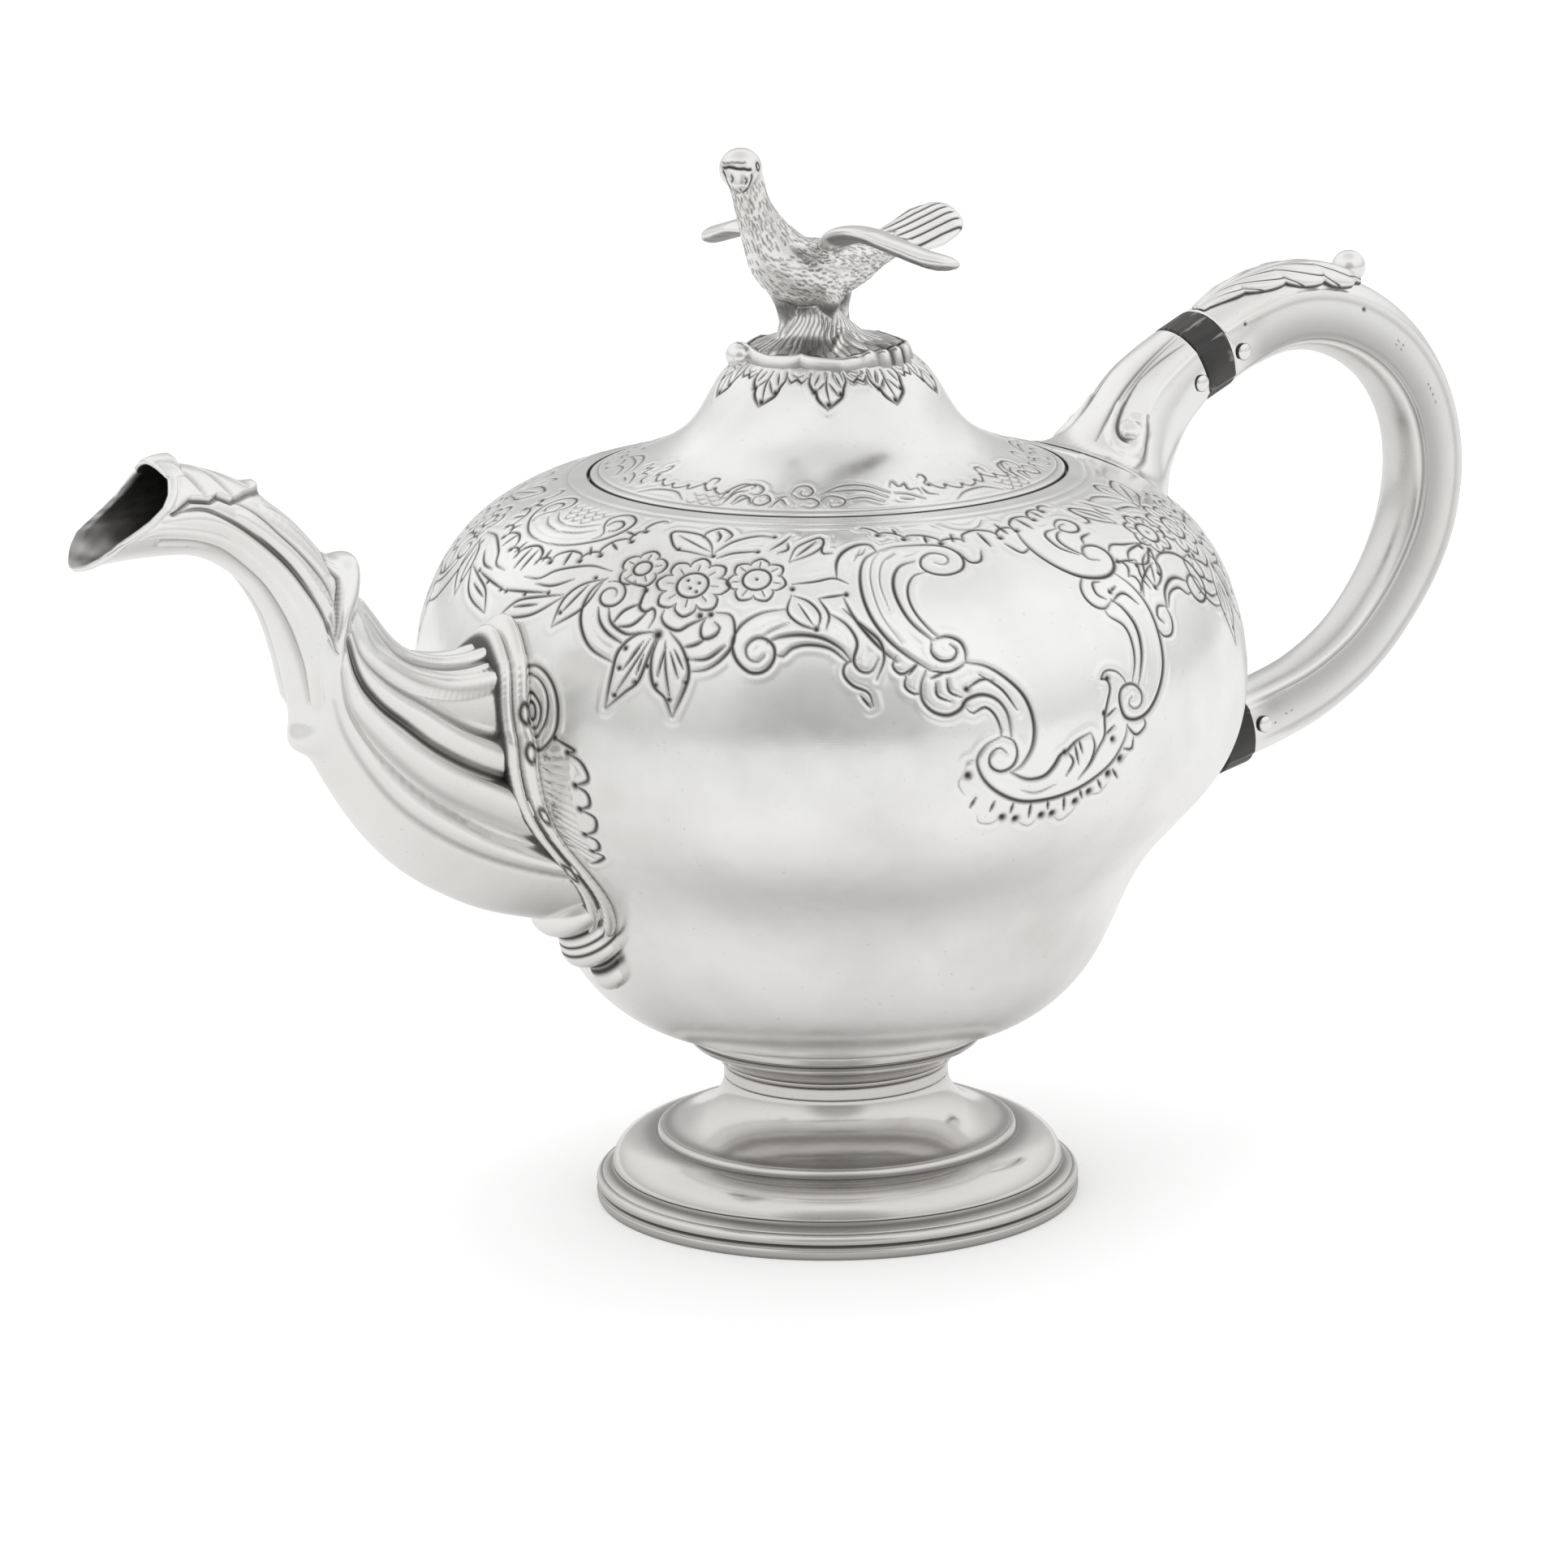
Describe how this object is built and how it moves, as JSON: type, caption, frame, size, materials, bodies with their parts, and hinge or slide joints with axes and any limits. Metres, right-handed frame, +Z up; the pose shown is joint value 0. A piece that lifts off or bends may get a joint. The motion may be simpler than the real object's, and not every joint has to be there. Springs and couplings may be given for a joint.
{
  "type": "silver teapot",
  "caption": "Silver teapot with a swan-neck spout, hollow scroll handle with insulating bands, stepped foot and a hinged domed lid under a bird finial.",
  "frame": {"origin": "centre of the foot's resting plane, on the body's axis", "axes": "+Z up, +X towards the handle, -X towards the spout, +Y on the right hand of someone pouring"},
  "size_m": [0.2976, 0.1438, 0.1853],
  "materials": {
    "silver": "polished sterling silver, softly worn, with darkened chasing",
    "finial": "cast and chased silver, darkened in the hollows",
    "insulator": "blackened hardwood, oiled, fine lengthwise scratches"
  },
  "bodies": {
    "pot": {"body": "silver", "lid_seat_ring": "silver", "foot_collar": "silver", "foot": "silver", "foot_rim": "silver", "spout": "silver", "spout_collar": "silver", "spout_drop": "silver", "body_hinge_knuckles": "silver", "hinge_pin": "silver", "upper_socket_pin": "silver", "upper_grip_pin": "silver", "lower_grip_pin": "silver", "lower_socket_pin": "silver", "upper_socket": "silver", "lower_socket": "silver", "upper_insulator": "insulator", "lower_insulator": "insulator", "handle_grip": "silver", "thumb_leaf": "silver"},
    "lid_unit": {"lid": "silver", "lid_bezel": "silver", "lid_hinge_knuckles": "silver", "finial_plate": "finial", "finial_stud": "silver", "finial_bird": "finial", "finial_nut": "silver"}
  },
  "joints": [
    {"name": "lid_hinge", "type": "hinge", "parent": "pot", "child": "lid_unit", "pos_m": [0.0416, 0, 0.12715], "axis": [0, 1, 0], "range_deg": [0, 70]}
  ]
}
